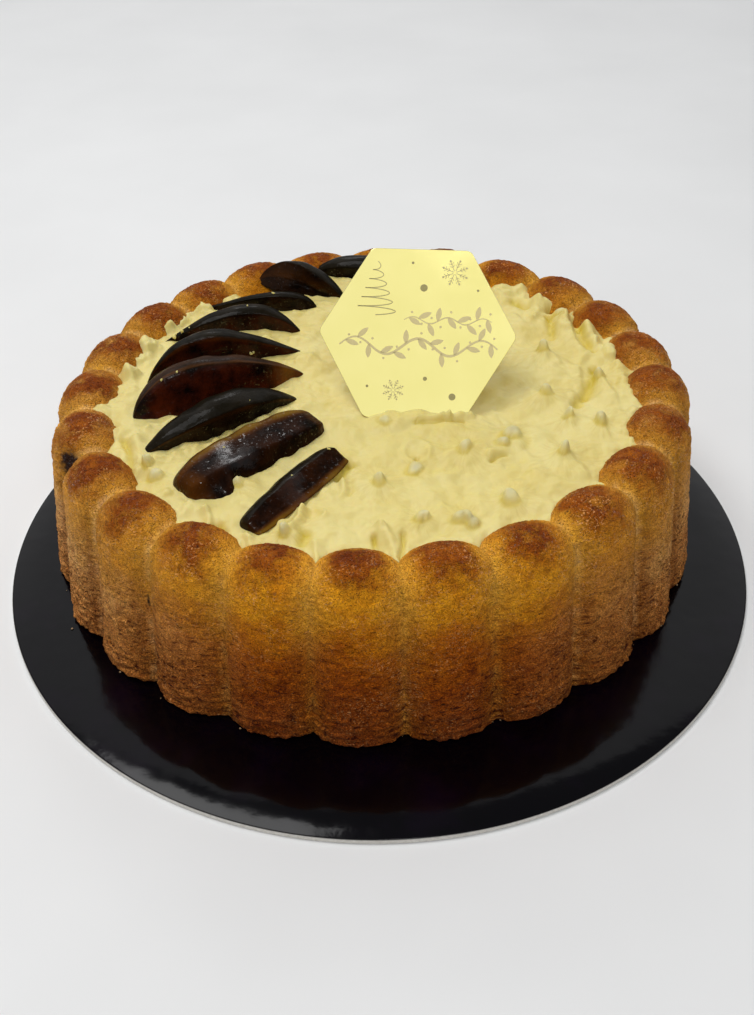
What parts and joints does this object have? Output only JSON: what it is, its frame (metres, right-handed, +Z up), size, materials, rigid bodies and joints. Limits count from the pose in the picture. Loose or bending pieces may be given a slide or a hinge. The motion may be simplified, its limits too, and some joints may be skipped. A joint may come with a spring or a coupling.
{
  "type": "fig cake",
  "caption": "Round fluted sponge cake with a cream-filled top, candied fig slices fanned on one side and a tilted gold hexagon plaque, on a thin round black board.",
  "frame": {"origin": "centre of the board's underside, where the part rests", "axes": "+Z up out of the board, +Y towards the back of the cake, +X to its right as seen from the front; the fig slices lie on the -X side"},
  "size_m": [0.28, 0.28, 0.1068],
  "materials": {
    "board": "black satin film over pale card",
    "sponge": "baked golden brown crumb, darker on the rim",
    "cream": "soft pale yellow cream",
    "fig": "glossy candied fruit, dark skin and brown flesh",
    "plaque": "pale gold mirror"
  },
  "bodies": {
    "root": {"board": "board", "sponge": "sponge", "cream": "cream", "fig_slice_1": "fig", "fig_slice_2": "fig", "fig_slice_3": "fig", "fig_slice_4": "fig", "fig_slice_5": "fig", "fig_slice_6": "fig", "fig_slice_7": "fig", "fig_slice_8": "fig", "fig_slice_9": "fig", "plaque": "plaque"}
  },
  "joints": []
}
